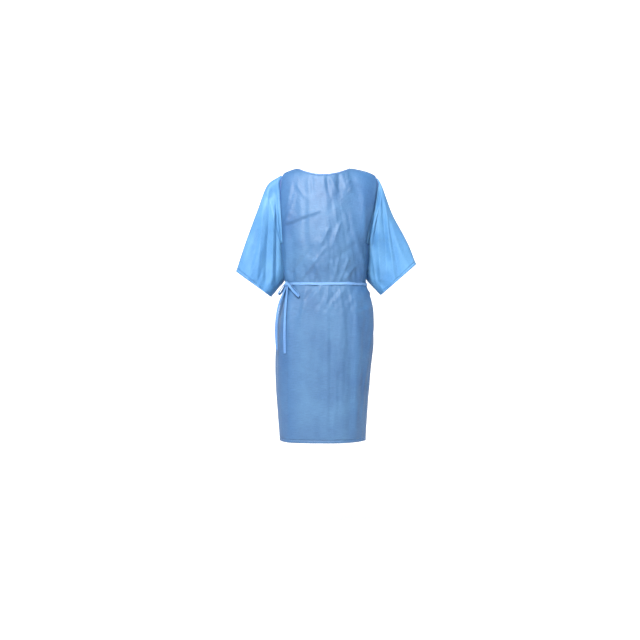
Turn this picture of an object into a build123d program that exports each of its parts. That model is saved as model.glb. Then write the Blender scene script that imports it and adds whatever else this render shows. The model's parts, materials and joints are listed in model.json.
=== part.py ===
from build123d import *

import math
import os

# A short-sleeved patient gown of thin nonwoven cloth, as it hangs on its wearer: open down the back, where
# one back panel laps over the other, and tied round the waist with a flat belt. Lengths are in millimetres.
# The origin is midway between the two points where the neck edge meets the shoulders, +Z is up, the front
# faces -Y, and +X is the wearer's left. Soft pieces are plain closed shells of the worn outer shape.

# Cloth and trim
CLOTH = 0.8  # shell of one cloth layer
LAP_GAP = 2.0  # air between the two back layers, which the neck fastener fills
FREE_GAP = 0.4  # air between pieces on different bodies
SEAM_W = 8.0
HEM_W = 12.0
FACING_W = 15.0
BINDING_W = 6.0

# Worn outline below the arms: height, half width and half depth
HEM_Z = -1085.0
ARMHOLE_Z = -300.0
WAIST = (163.0, 112.0)
BELT_Z = -465.0
OUTLINE = (
    (HEM_Z, 174.0, 127.0),
    (-930.0, 182.5, 129.0),
    (-770.0, 191.5, 131.0),
    (-640.0, 197.0, 131.0),
    (-585.0, 195.0, 129.0),
    (-540.0, 187.0, 124.0),
    (-500.0, 173.0, 116.5),
    (BELT_Z, *WAIST),
    (-430.0, 165.5, 114.0),
    (-380.0, 172.0, 118.0),
    (ARMHOLE_Z, 185.0, 122.0),
)
SEAM_Y = 15.0  # the shoulder and side seams lie in this plane
SPLIT_Z = -500.0  # below this, the back panels hang free of the belt
LAP_X = 60.0  # how far each back panel reaches past the middle

# Neck and shoulders
NECK_HALF = 104.0
NECK_DROP = 32.0
SHOULDER_SLOPE = math.tan(math.radians(22.0))
ARMHOLE_X = 170.0
ARMHOLE_BAND = 5.0
YOKE_STATIONS = (-ARMHOLE_X, -140.0, -104.0, -60.0, 0.0, 60.0, 104.0, 140.0, ARMHOLE_X)
YOKE_BEND = (0.45, 0.78, 72.0)  # how far out the two middle control points lie, and the second one's drop

# Sleeve sections: outer corner (x, z), inner corner (x, z) and half depth
SLEEVE = (
    ((ARMHOLE_X + FREE_GAP, -40.0), (ARMHOLE_X + FREE_GAP, -262.0), 40.0),
    ((222.0, -82.0), (194.0, -302.0), 46.0),
    ((258.0, -158.0), (201.0, -352.0), 48.0),
    ((294.0, -246.0), (206.0, -412.0), 48.0),
    ((358.0, -406.0), (216.0, -510.0), 46.0),
)
SLEEVE_HEM_SHARE = 0.07  # part of the last stretch that is turned up

# Neck fastener
PATCH_W = 36.0
PATCH_H = 18.0
PATCH_Z = -62.0

# Belt, knot, bow and tails
BELT_W = 10.0
BELT_T = 1.0
BELT_OFF = 0.6
KNOT_X = -147.0
KNOT_SIZE = (18.0, 9.0, 16.0)
LOOP_T = 0.8
# each loop: the knot's side that it leaves, its far end's offset from the knot, and its thickness across
FRONT_LOOP = (1, (48.0, -60.0, -50.0), 9.0)
SIDE_LOOP = (-1, (-35.0, 25.0, -40.0), 9.0)
LOOP_START = (13.5, 2.0)  # beside the knot's middle and above it
# each tail: start's offset from the knot, level heading in degrees, and its route as (outwards, down)
FRONT_TAIL = ((2.9, -4.1), 258.0, ((0, 0), (11, 34), (25, 76), (32, 126), (33.5, 178), (32, 226), (30.5, 266)))
SIDE_TAIL = ((-2.9, 4.1), 200.0, ((0, 0), (15, 31), (33, 71), (41, 120), (44, 171), (43.5, 216), (42, 253)))
TAIL_W = 10.0
TAIL_T = 0.8

FAR = 900.0

# Depths of the cloth layers, from the outermost face inwards
OUTER = (0.0, CLOTH)
INNER = (CLOTH + LAP_GAP, 2 * CLOTH + LAP_GAP)
FULL = (0.0, 2 * CLOTH + LAP_GAP)
SHELF_Z = HEM_Z + HEM_W
SEAM_FRONT = SEAM_Y - SEAM_W / 2
SEAM_BACK = SEAM_Y + SEAM_W / 2


def region(x=(-FAR, FAR), y=(-FAR, FAR), z=(-1400.0, FAR)):
    """A box between the given limits, for cutting shells into pieces."""
    size = [limits[1] - limits[0] for limits in (x, y, z)]
    middle = [(limits[0] + limits[1]) / 2 for limits in (x, y, z)]
    return Pos(*middle) * Box(*size)


def rows_between(rows, low, high):
    """The rows of a table from low to high in its first column, with rows worked out at both ends."""

    def row_at(key):
        for before, after in zip(rows, rows[1:]):
            if before[0] <= key <= after[0]:
                share = (key - before[0]) / (after[0] - before[0])
                return tuple(p + (q - p) * share for p, q in zip(before, after))
        raise ValueError(f"{key} is outside the table")

    return [row_at(low)] + [row for row in rows if low < row[0] < high] + [row_at(high)]


def angle_at(limit, a, b):
    """The angle on an ellipse where one coordinate has a value, on the given side of the other one."""
    axis, value, side = limit
    if axis == "y":
        return math.asin(value / b) if side > 0 else math.pi - math.asin(value / b)
    return math.acos(value / a) if side > 0 else -math.acos(value / a)


def arc_points(frame, a, b, start, end):
    """Points along an ellipse in a frame, counterclockwise from one limit to the other."""
    first, last = angle_at(start, a, b), angle_at(end, a, b)
    while last <= first:
        last += math.tau
    steps = max(3, math.ceil((last - first) / (math.pi / 10)))
    angles = [first + (last - first) * i / steps for i in range(steps + 1)]
    return [frame.from_local_coords(Vector(a * math.cos(t), b * math.sin(t), 0)) for t in angles]


def ribbon_face(outside, inside):
    """The face between two curves through points."""
    edges = [
        Spline(*outside),
        Line(outside[-1], inside[-1]),
        Spline(*inside[::-1]),
        Line(inside[0], outside[0]),
    ]
    return make_face(edges)


def tube_part(rings, depths, start, end):
    """Part of a tube's wall, between two limits round its section. Each ring is (frame, a, b)."""
    faces = []
    for frame, a, b in rings:
        outside, inside = (arc_points(frame, a - d, b - d, start, end) for d in depths)
        faces.append(ribbon_face(outside, inside))
    return loft(faces, ruled=True)


def trunk(depths, start, end, z):
    """Part of the gown's wall below the arms."""
    rings = [(Plane.XY.offset(height), a, b) for height, a, b in rows_between(OUTLINE, *z)]
    return tube_part(rings, depths, start, end)


def yoke(depths, front, stations=YOKE_STATIONS):
    """The front or back wall above the underarm, from the shoulder line down to the armholes' lowest point."""
    _, a, b = OUTLINE[-1]
    sign, edge = (-1, SEAM_FRONT) if front else (1, SEAM_BACK)
    near, far, drop = YOKE_BEND
    faces = []
    for x in stations:
        curves = []
        for depth in depths:
            reach = sign * (b - depth) * math.sqrt(1 - (x / (a - depth)) ** 2) - edge
            top = (NECK_HALF - abs(x)) * SHOULDER_SLOPE - depth
            profile = ((0, top), (near, top), (far, top - drop), (1, ARMHOLE_Z))
            curves.append([Vector(x, edge + share * reach, z) for share, z in profile])
        outside, inside = curves
        edges = [
            Bezier(*outside),
            Line(outside[-1], inside[-1]),
            Bezier(*inside[::-1]),
            Line(inside[0], outside[0]),
        ]
        faces.append(make_face(edges))
    return loft(faces, ruled=True)


def shoulder_strip(side, depths):
    """The strip of wall under one shoulder seam, from the neck to the armhole."""
    inner_x, outer_x = 60.0, ARMHOLE_X
    corners = []
    for x, depth in ((inner_x, depths[0]), (outer_x, depths[0]), (outer_x, depths[1]), (inner_x, depths[1])):
        corners.append((side * x, SEAM_FRONT, (NECK_HALF - x) * SHOULDER_SLOPE - depth))
    return extrude(make_face(Polyline(*corners, close=True)), SEAM_W, dir=(0, 1, 0))


def neck_hole(extra=0.0):
    """The neck opening as a bar along Y, made wider by extra."""
    radius = (NECK_HALF**2 + NECK_DROP**2) / (2 * NECK_DROP)
    return Pos(0, 0, radius - NECK_DROP) * Rot(90, 0, 0) * Cylinder(radius + extra, 2 * FAR)


def write(name, shape):
    """Writes one piece to its own file."""
    solids = shape.solids()
    assert solids and all(s.is_valid for s in solids), name
    whole = Compound(label=name, children=list(solids)) if len(solids) > 1 else solids[0]
    export_step(whole, os.path.join("parts", name + ".step"))


def front_pieces():
    """The front panel and its hem."""
    limits = (("y", SEAM_FRONT, -1), ("y", SEAM_FRONT, 1))
    rim = region(z=(ARMHOLE_Z - ARMHOLE_BAND, FAR))
    sides = region(x=(ARMHOLE_BAND - ARMHOLE_X, ARMHOLE_X - ARMHOLE_BAND))
    top = yoke(OUTER, front=True)
    bottom = trunk(OUTER, *limits, z=(SHELF_Z, ARMHOLE_Z))
    band_top, band_low = top - sides, (bottom & rim) - sides
    panel = (top & sides) - neck_hole(BINDING_W) + (bottom - ((bottom & rim) - sides))
    return {
        "front_panel": panel,
        "front_hem": trunk((0.0, 2 * CLOTH), *limits, z=(HEM_Z, SHELF_Z)),
    }, band_top + band_low, top


def back_pieces(side):
    """One back panel above the belt, with the facing on its free edge."""
    sign, depths = (1, OUTER) if side == "left" else (-1, INNER)
    lap = LAP_X - FACING_W
    seam, fold, edge = ("y", SEAM_BACK, sign), ("x", -sign * lap, 1), ("x", -sign * LAP_X, 1)
    z = (SPLIT_Z, ARMHOLE_Z)
    panel_limits = (seam, fold) if sign > 0 else (fold, seam)
    facing_limits = (fold, edge) if sign > 0 else (edge, fold)
    across = sorted((-sign * lap, sign * FAR))
    beside = sorted((-sign * lap, -sign * LAP_X))
    inboard = sorted((-sign * FAR, sign * (ARMHOLE_X - ARMHOLE_BAND)))
    rim = region(z=(ARMHOLE_Z - ARMHOLE_BAND, FAR))
    top = yoke(depths, front=False)
    bottom = trunk(depths, *panel_limits, z=z)
    low_band = (bottom & rim) - region(x=inboard)
    panel = (top & region(x=across) & region(x=inboard)) - neck_hole(BINDING_W) + (bottom - low_band)
    facing = (top & region(x=beside)) - neck_hole(BINDING_W) + trunk(depths, *facing_limits, z=z)
    band = (top & region(x=across)) - region(x=inboard) + low_band
    bound = top & region(x=sorted((-sign * LAP_X, sign * FAR)))
    return {"back_panel_" + side: panel, "back_facing_" + side: facing}, band, bound


def seam_pieces(side, front_band, back_band):
    """One side's shoulder seam, side seam and armhole seam."""
    sign = 1 if side == "left" else -1
    depths = OUTER if side == "left" else FULL
    half = region(x=sorted((0, sign * FAR)))
    inboard = region(x=(ARMHOLE_BAND - ARMHOLE_X, ARMHOLE_X - ARMHOLE_BAND))
    limits = [("y", SEAM_FRONT, sign), ("y", SEAM_BACK, sign)][::sign]
    strip = shoulder_strip(sign, depths)
    side_wall = trunk(depths, *limits, z=(HEM_Z, ARMHOLE_Z))
    rim = region(z=(ARMHOLE_Z - ARMHOLE_BAND, FAR))
    return {
        "shoulder_seam_" + side: (strip & inboard) - neck_hole(BINDING_W),
        "side_seam_" + side: side_wall - rim,
        "armhole_seam_" + side: (front_band & half) + back_band + (strip - inboard) + (side_wall & rim),
    }


def neck_pieces(front_wall, back_walls):
    """The binding round the neck's edge, and the two patches that fasten the laps at the nape."""
    ring = neck_hole(BINDING_W) - neck_hole()
    binding = front_wall & ring
    for sign, depths in ((1, OUTER), (-1, FULL)):
        binding += shoulder_strip(sign, depths) & ring
    for wall in back_walls:
        binding += wall & ring
    stations = [x for x in YOKE_STATIONS if abs(x) <= LAP_X]
    patch = region(x=(-PATCH_W / 2, PATCH_W / 2), z=(PATCH_Z - PATCH_H / 2, PATCH_Z + PATCH_H / 2))
    middle = CLOTH + LAP_GAP / 2
    return {
        "neck_binding": binding,
        "neck_hook_patch": yoke((CLOTH, middle), front=False, stations=stations) & patch,
        "neck_loop_patch": yoke((middle, INNER[0]), front=False, stations=stations) & patch,
    }


def flap_pieces(side):
    """One lower back flap, which swings free below the belt, with its hem and facing."""
    sign, depths = (1, OUTER) if side == "left" else (-1, INNER)
    lap = LAP_X - FACING_W
    seam, fold, edge = ("y", SEAM_BACK + FREE_GAP, sign), ("x", -sign * lap, 1), ("x", -sign * LAP_X, 1)
    z = (SHELF_Z, SPLIT_Z - FREE_GAP)
    return {
        "back_flap_" + side: trunk(depths, *(seam, fold)[::sign], z=z),
        "flap_facing_" + side: trunk(depths, *(fold, edge)[::sign], z=z),
        "flap_hem_" + side: trunk((depths[0], depths[0] + 2 * CLOTH), *(seam, edge)[::sign], z=(HEM_Z, SHELF_Z)),
    }


def sleeve_rings(low, high):
    """The sleeve's section frames and sizes between two places along it, 0 at the armhole."""
    rows = [(place, *outer, *inner, depth) for place, (outer, inner, depth) in enumerate(SLEEVE)]
    rings = []
    for _, outer_x, outer_z, inner_x, inner_z, depth in rows_between(rows, low, high):
        across = Vector(inner_x - outer_x, 0, inner_z - outer_z)
        middle = ((outer_x + inner_x) / 2, 0, (outer_z + inner_z) / 2)
        frame = Plane(origin=middle, x_dir=across.normalized(), z_dir=across.cross(Vector(0, 1, 0)).normalized())
        rings.append((frame, across.length / 2, depth))
    return rings


def sleeve_pieces():
    """Both sleeves, each with its underarm seam and its hem."""
    end = len(SLEEVE) - 1
    hem = end - SLEEVE_HEM_SHARE
    below, above, fold = ("y", -SEAM_W / 2, 1), ("y", SEAM_W / 2, 1), ("y", 0.0, -1)

    def wrap(rings, depths):
        return tube_part(rings, depths, above, fold) + tube_part(rings, depths, fold, below)

    left = {
        "sleeve_left": wrap(sleeve_rings(0, hem), OUTER),
        "underarm_seam_left": tube_part(sleeve_rings(0, end), OUTER, below, above),
        "sleeve_hem_left": wrap(sleeve_rings(hem, end), (0.0, 2 * CLOTH)),
    }
    right = {name.replace("left", "right"): mirror(piece, about=Plane.YZ) for name, piece in left.items()}
    return {**left, **right}


def waist_point(x, off):
    """The point of the waist's front outline at x, moved out by off, and the outward direction there."""
    a, b = WAIST
    out = Vector(x / a**2, -math.sqrt(1 - (x / a) ** 2) / b, 0).normalized()
    return Vector(x, -b * math.sqrt(1 - (x / a) ** 2), BELT_Z) + out * off, out


def belt_pieces():
    """The belt round the waist with its knot, its two bow loops and its two hanging tails."""
    a, b = WAIST
    flare = max(x for z, x, _ in rows_between(OUTLINE, BELT_Z - BELT_W / 2, BELT_Z + BELT_W / 2)) - a
    inside = BELT_OFF + flare
    outside = inside + BELT_T
    band = Ellipse(a + outside, b + outside) - Ellipse(a + inside, b + inside)
    pieces = {"waist_belt": Pos(0, 0, BELT_Z - BELT_W / 2) * extrude(band, BELT_W)}

    width, thick, height = KNOT_SIZE
    knot, out = waist_point(KNOT_X, outside + 0.4 + thick / 2)
    knot_frame = Plane(origin=knot, x_dir=Vector(0, 0, 1).cross(out), z_dir=out)
    block = Box(width, height, thick)
    pieces["belt_knot"] = knot_frame * fillet(block.edges(), thick / 2 - 0.6)

    beside, above = LOOP_START
    for name, (side, far_end, across) in (("bow_loop_front", FRONT_LOOP), ("bow_loop_side", SIDE_LOOP)):
        start = knot_frame.x_dir * (side * beside) + Vector(0, 0, above)
        run = Vector(*far_end) - start
        heading = run.normalized()
        length = run.length
        flat = (out - heading * out.dot(heading)).normalized()
        frame = Plane(origin=knot + start + run / 2, x_dir=heading, z_dir=heading.cross(flat))
        ring = Ellipse(length / 2, across / 2) - Ellipse(length / 2 - LOOP_T, across / 2 - LOOP_T)
        pieces[name] = frame * extrude(ring, BELT_W / 2, both=True)

    for name, (offset, heading, route) in (("belt_tail_front", FRONT_TAIL), ("belt_tail_side", SIDE_TAIL)):
        start = knot + Vector(offset[0], offset[1], -height / 2 - FREE_GAP)
        level = Vector(math.cos(math.radians(heading)), math.sin(math.radians(heading)), 0)
        points = [start + level * u - Vector(0, 0, down) for u, down in route]
        radii = corner_radii(points)
        path = FilletPolyline(*points, radius=radii)
        first = Plane(origin=points[0], x_dir=Vector(0, 0, 1).cross(level), z_dir=points[1] - points[0])
        pieces[name] = sweep(first * Rectangle(TAIL_W, TAIL_T), path=path)
        share = pieces[name].volume / (TAIL_W * TAIL_T * path.length)
        print(f"{name}: length {path.length:.0f}, volume over section times length {share:.3f}")
        print("  radii", [round(r) for r in radii])
        print("  route", [tuple(round(c, 1) for c in p) for p in points])
    return pieces


def corner_radii(points):
    """The largest arc that fits each corner of a route, as far as its two runs allow."""
    radii = []
    for before, corner, after in zip(points, points[1:], points[2:]):
        run_in, run_out = corner - before, after - corner
        turn = math.radians(run_in.get_angle(run_out))
        radii.append(0.45 * min(run_in.length, run_out.length) / math.tan(turn / 2))
    return radii


def gown():
    """Every piece by name."""
    pieces, front_band, front_wall = front_pieces()
    back_walls = []
    for side in ("left", "right"):
        panels, back_band, wall = back_pieces(side)
        back_walls.append(wall)
        pieces.update(panels)
        pieces.update(seam_pieces(side, front_band, back_band))
        pieces.update(flap_pieces(side))
    pieces.update(neck_pieces(front_wall, back_walls))
    pieces.update(sleeve_pieces())
    pieces.update(belt_pieces())
    return pieces


os.makedirs("parts", exist_ok=True)
for piece_name, piece in gown().items():
    write(piece_name, piece)
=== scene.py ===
import json
import math

import bpy
import numpy as np
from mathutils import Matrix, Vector
from mathutils.bvhtree import BVHTree
from mathutils.kdtree import KDTree

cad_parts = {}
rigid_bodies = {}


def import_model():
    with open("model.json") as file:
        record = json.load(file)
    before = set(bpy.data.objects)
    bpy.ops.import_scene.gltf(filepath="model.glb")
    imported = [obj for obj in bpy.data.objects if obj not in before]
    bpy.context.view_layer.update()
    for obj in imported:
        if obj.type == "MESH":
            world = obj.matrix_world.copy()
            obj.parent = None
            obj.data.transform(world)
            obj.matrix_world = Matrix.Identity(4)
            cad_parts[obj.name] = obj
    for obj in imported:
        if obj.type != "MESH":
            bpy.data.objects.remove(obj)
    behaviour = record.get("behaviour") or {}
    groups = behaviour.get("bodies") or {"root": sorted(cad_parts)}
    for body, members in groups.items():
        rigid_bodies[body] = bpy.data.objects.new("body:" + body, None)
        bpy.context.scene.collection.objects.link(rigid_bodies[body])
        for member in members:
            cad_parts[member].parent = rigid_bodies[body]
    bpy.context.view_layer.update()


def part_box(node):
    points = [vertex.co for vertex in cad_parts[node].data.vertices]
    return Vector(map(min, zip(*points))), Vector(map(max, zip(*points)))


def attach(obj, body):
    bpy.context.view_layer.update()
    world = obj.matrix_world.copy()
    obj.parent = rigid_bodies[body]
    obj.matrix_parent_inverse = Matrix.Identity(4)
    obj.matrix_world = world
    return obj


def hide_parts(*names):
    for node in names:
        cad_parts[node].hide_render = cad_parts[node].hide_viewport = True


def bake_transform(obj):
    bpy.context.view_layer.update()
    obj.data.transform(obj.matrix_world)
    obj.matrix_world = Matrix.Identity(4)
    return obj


for leftover in list(bpy.data.objects):
    bpy.data.objects.remove(leftover)
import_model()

# The gown hangs from its wearer's shoulders. Lengths are in metres: +Z up, front -Y, +X the wearer's
# left. One welded cloth grid is draped by a cloth simulation, then parted into its sewn pieces.

rng = np.random.default_rng(7)

CELL = 0.0105  # grid spacing of the simulated cloth
HEM_Z = -1.084
ARM_Z = -0.300  # the armholes' lowest point
BELT_Z = -0.466
LAP_X = 0.060
SEAM_Y = (0.010, 0.020)
FACING_W = 0.012
BINDING_W = 0.006
HEM_W = 0.012
LAP_DEPTH = 0.005
DRAPE_FRAMES = 36
DRAPE_LIMIT = 0.014  # the furthest that draping moves any point

# Worn outline: height, half width, half depth, sideways lean and squareness of the section
WORN = np.array([
    (-1.100, 0.1735, 0.127, -0.008, 2.45),
    (-0.930, 0.1825, 0.129, -0.008, 2.45),
    (-0.770, 0.1930, 0.131, -0.003, 2.45),
    (-0.640, 0.1975, 0.130, 0.006, 2.40),
    (-0.585, 0.1955, 0.128, 0.010, 2.30),
    (-0.540, 0.1880, 0.123, 0.012, 2.20),
    (-0.500, 0.1740, 0.116, 0.011, 2.10),
    (-0.465, 0.1620, 0.111, 0.009, 2.00),
    (-0.430, 0.1640, 0.113, 0.008, 2.00),
    (-0.380, 0.1690, 0.117, 0.006, 2.00),
    (-0.300, 0.1770, 0.121, 0.004, 2.00),
])
# The same cloth as it was cut, before the belt drew it in
CUT = WORN.copy()
CUT[4:9, 1] = np.interp(CUT[4:9, 0], (-0.640, -0.380), (0.1980, 0.1800))
CUT[4:9, 2] = np.interp(CUT[4:9, 0], (-0.640, -0.380), (0.1310, 0.1240))
EASE = 1.025

# Shoulder line seen from the front (x, z), neck edge and armhole corners
RIDGE = np.array([(-0.156, -0.019), (-0.140, -0.012), (-0.106, 0.0), (0.0, 0.030), (0.106, 0.0),
                  (0.170, -0.014), (0.206, -0.030)])
EDGE_PUSH = {"right": -0.013, "left": 0.028}  # how far the armhole edges swell out above their feet
RIDGE_Y = 0.010
NECK_HALF = 0.106
NECK_DROP = {"front": 0.032, "back": 0.027}
CORNER = 0.171  # armhole corner's distance from the middle at ARM_Z
NECK_FOOT = 0.100
YOKE_BEND = (0.45, 0.78, 0.072)
YOKE_ROWS = 30
SHOULDER_CELLS = 6
FOOT_LEAN = 0.004  # the trunk's sideways lean at ARM_Z

# Sleeve sections: outer corner (x, z), inner corner (x, z), half depth, for the wearer's left and right
SLEEVES = {
    "left": (
        ((0.238, 0.004, -0.080), (0.176, 0.018, -0.322), 0.044),
        ((0.264, 0.006, -0.156), (0.171, 0.042, -0.378), 0.046),
        ((0.298, 0.006, -0.226), (0.170, 0.052, -0.436), 0.046),
        ((0.338, 0.004, -0.300), (0.199, 0.040, -0.474), 0.044),
        ((0.371, 0.000, -0.384), (0.230, 0.028, -0.509), 0.042),
    ),
    "right": (
        ((-0.224, 0.016, -0.064), (-0.169, 0.020, -0.320), 0.040),
        ((-0.262, 0.012, -0.160), (-0.157, 0.046, -0.378), 0.045),
        ((-0.290, 0.010, -0.235), (-0.154, 0.056, -0.440), 0.045),
        ((-0.320, 0.006, -0.320), (-0.183, 0.042, -0.480), 0.044),
        ((-0.350, 0.004, -0.414), (-0.211, 0.030, -0.515), 0.042),
    ),
}
SLEEVE_ROWS = 36
TUCK = 0.016  # how far the sleeve's front falls back behind the armhole seam
# Folds that run down each sleeve: how many round it, how deep, and where they start
SLEEVE_WAVES = {
    "left": ((5, 0.0046, 0.6), (8, 0.0024, 2.0), (13, 0.0012, 0.4)),
    "right": ((5, 0.0046, 2.6), (9, 0.0024, 0.9), (14, 0.0012, 1.4)),
}


def curve_through(table, at):
    """Values of a table at places in its first column, along a smooth curve through its rows."""
    keys, values = table[:, 0], table[:, 1:]
    slopes = np.gradient(values, keys, axis=0)
    i = np.clip(np.searchsorted(keys, at) - 1, 0, len(keys) - 2)
    h = (keys[i + 1] - keys[i])[..., None]
    t = ((at - keys[i]) / h[..., 0])[..., None]
    return ((2 * t**3 - 3 * t**2 + 1) * values[i] + (t**3 - 2 * t**2 + t) * h * slopes[i]
            + (3 * t**2 - 2 * t**3) * values[i + 1] + (t**3 - t**2) * h * slopes[i + 1])


def smooth(x):
    x = np.clip(x, 0, 1)
    return x * x * (3 - 2 * x)


def along(points):
    """Distance along a line of points."""
    steps = np.linalg.norm(np.diff(points, axis=0), axis=1)
    return np.concatenate(([0.0], np.cumsum(steps)))


def resample(points, places):
    """Points at the given distances along a line of points."""
    s = along(points)
    return np.stack([np.interp(places, s, points[:, k]) for k in range(points.shape[1])], axis=1)


def section(outline, z, inset=0.0):
    """The gown's section at one height, from the right back panel's free edge round to the left's."""
    a, b, lean, square = curve_through(outline, np.array([z]))[0]
    turn = np.radians(np.linspace(50.0, 490.0, 1800))
    under = LAP_DEPTH * smooth((np.radians(175.0) - turn) / np.radians(60.0)) + inset
    c, s = np.cos(turn), np.sin(turn)
    x = lean + (a - under) * np.sign(c) * np.abs(c) ** (2 / square)
    y = (b - under) * np.sign(s) * np.abs(s) ** (2 / square)
    first = np.nonzero((turn < math.pi) & (x <= LAP_X))[0][0]
    last = np.nonzero((turn > math.tau) & (x >= -LAP_X))[0][-1]
    return np.stack([x, y, np.full_like(x, z)], axis=1)[first:last + 1]


def find_place(points, test):
    """The distance along a line of points of the first point that passes a test."""
    return along(points)[np.nonzero(test(points[:, 0], points[:, 1]))[0][0]]


def layout():
    """The columns' shares of the way round the section at the armhole's foot, and where stretches meet."""
    ring = section(WORN, ARM_Z)
    lean = FOOT_LEAN
    total = along(ring)[-1]
    half = np.searchsorted(along(ring), total / 2)
    low_y, high_y = SEAM_Y

    def before_front(test):
        return find_place(ring, lambda x, y: test(x, y) & (np.arange(len(x)) < half))

    def after_front(test):
        return find_place(ring, lambda x, y: test(x, y) & (np.arange(len(x)) > half))

    marks = [
        ("start", 0.0),
        ("facing_right", FACING_W),
        ("back_neck_right", before_front(lambda x, y: x <= lean - NECK_FOOT)),
        ("back_corner_right", before_front(lambda x, y: x <= lean - CORNER)),
        ("side_right", before_front(lambda x, y: (x < 0) & (y <= high_y))),
        ("side_right_end", before_front(lambda x, y: (x < 0) & (y <= low_y))),
        ("corner_right", before_front(lambda x, y: (y < 0) & (x >= lean - CORNER))),
        ("neck_right", before_front(lambda x, y: (y < 0) & (x >= lean - NECK_FOOT))),
        ("neck_left", after_front(lambda x, y: (y < 0) & (x >= lean + NECK_FOOT))),
        ("corner_left", after_front(lambda x, y: (y < 0) & (x >= lean + CORNER))),
        ("side_left", after_front(lambda x, y: (x > 0) & (y >= low_y))),
        ("side_left_end", after_front(lambda x, y: (x > 0) & (y >= high_y))),
        ("back_corner_left", after_front(lambda x, y: (y > high_y) & (x <= lean + CORNER))),
        ("back_neck_left", after_front(lambda x, y: (y > high_y) & (x <= lean + NECK_FOOT))),
        ("facing_left", total - FACING_W),
        ("end", total),
    ]
    shoulders = ("back_corner_right", "neck_right", "corner_left", "back_neck_left")
    shares, columns = [0.0], {"start": 0}
    for (_, low), (name, high) in zip(marks, marks[1:]):
        count = SHOULDER_CELLS if name in shoulders else max(1, round((high - low) / CELL))
        shares.extend(low / total + (high - low) / total * (i + 1) / count for i in range(count))
        columns[name] = len(shares) - 1
    return np.array(shares), columns


SHARES, COL = layout()
TRUNK_ROWS = round((ARM_Z - HEM_Z) / CELL)
TRUNK_Z = np.concatenate(([HEM_Z], np.linspace(HEM_Z + HEM_W, ARM_Z, TRUNK_ROWS)))


def ridge_height(x):
    return np.interp(x, RIDGE[:, 0], RIDGE[:, 1])


def pleat(angle):
    """A wave with sharp crests and round troughs, level on average."""
    return 1.35 - 2 * np.abs(np.sin(angle / 2)) ** 0.75


def gathers(points, level):
    """Little upright waves that the belt presses into the cloth, fading away above and below it."""
    s = along(points)
    wave = sum(pleat(math.tau * s / length + phase) * share
               for length, phase, share in ((0.053, 0.7, 0.5), (0.034, 2.1, 0.6), (0.089, 4.0, 0.5)))
    reach = abs(level - BELT_Z) / 0.032
    swell = 0.0006 + 0.0050 * reach * math.exp(1 - reach)
    tangent = np.gradient(points[:, :2], axis=0)
    tangent /= np.linalg.norm(tangent, axis=1)[:, None]
    outward = np.stack([tangent[:, 1], -tangent[:, 0]], axis=1)
    moved = points.copy()
    moved[:, :2] += outward * (wave * swell)[:, None]
    return moved


def trunk_grid(outline, inset=0.0, waves=False):
    """Rows of points from the hem up to the armhole's foot."""
    rows = []
    for z in TRUNK_Z:
        ring = section(outline, z, inset)
        row = resample(ring, SHARES * along(ring)[-1])
        rows.append(gathers(row, z) if waves else row)
    return np.array(rows)


def yoke_grid(foot_row, first, last, front, inset=0.0):
    """Rows of points from the armhole's foot up to the shoulder line and neck, for a run of columns."""
    feet = foot_row[first:last + 1]
    neck_feet = (FOOT_LEAN - NECK_FOOT, FOOT_LEAN + NECK_FOOT)
    tops = np.interp(feet[:, 0], neck_feet, (-NECK_HALF, NECK_HALF))
    right = np.linspace(RIDGE[0, 0], -NECK_HALF, SHOULDER_CELLS + 1)
    left = np.linspace(NECK_HALF, RIDGE[-1, 0], SHOULDER_CELLS + 1)
    steps = slice(0, SHOULDER_CELLS + 1)
    back_steps = slice(len(tops) - SHOULDER_CELLS - 1, len(tops))
    if front:
        tops[steps], tops[back_steps] = right, left
    elif feet[0, 0] < NECK_FOOT:
        tops[back_steps] = right[::-1]
    else:
        tops[steps] = left[::-1]
    near, far, drop = YOKE_BEND
    radius_drop = NECK_DROP["front" if front else "back"]
    radius = (NECK_HALF**2 + radius_drop**2) / (2 * radius_drop)
    u = np.linspace(0, 1, 400)
    columns = []
    for foot, top_x in zip(feet, tops):
        reach = foot[1] - RIDGE_Y
        top_z = float(ridge_height(top_x)) - inset
        share = 3 * (1 - u) ** 2 * u * near + 3 * (1 - u) * u**2 * far + u**3
        height = (((1 - u) ** 3 + 3 * (1 - u) ** 2 * u) * top_z + 3 * (1 - u) * u**2 * (top_z - drop)
                  + u**3 * foot[2])
        push = EDGE_PUSH["left" if top_x > 0 else "right"] * smooth((abs(top_x) - 0.085) / 0.07)
        across = top_x + (foot[0] - top_x) * u + push * np.sin(math.pi * u)
        line = np.stack([across, RIDGE_Y + reach * share, height], axis=1)
        if not front and feet[0, 0] < NECK_FOOT:
            line[:, 1] -= LAP_DEPTH * smooth((top_x + 0.100) / 0.03) * (1 - u) ** 0.5
        if abs(top_x) < NECK_HALF - 1e-6:
            neck_z = radius - radius_drop - np.sqrt(np.maximum(radius**2 - line[:, 0] ** 2, 0)) - inset
            line = line[np.nonzero(line[:, 2] <= neck_z)[0][0]:]
        length = along(line)[-1]
        places = np.concatenate(([0.0], np.linspace(BINDING_W, length, YOKE_ROWS - 1)))
        columns.append(resample(line, places)[::-1])
    return np.array(columns).transpose(1, 0, 2)


class Cloth:
    """Vertices and faces of the welded garment, each face with the sewn piece that it belongs to."""

    def __init__(self):
        self.points, self.faces, self.labels, self.flat = [], [], [], []

    def add_grid(self, grid, label_of, flat, wrap=False, flip=False):
        """Adds a grid of rows and columns. label_of gives each cell's piece from its row and column."""
        rows, columns = grid.shape[:2]
        start = sum(len(p) for p in self.points)
        self.points.append(grid.reshape(-1, 3))
        self.flat.append(flat.reshape(-1, 2))
        for r in range(rows - 1):
            for c in range(columns if wrap else columns - 1):
                d = (c + 1) % columns
                corners = (start + r * columns + c, start + r * columns + d,
                           start + (r + 1) * columns + d, start + (r + 1) * columns + c)
                self.faces.append(corners[::-1] if flip else corners)
                self.labels.append(label_of(r, c))


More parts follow.
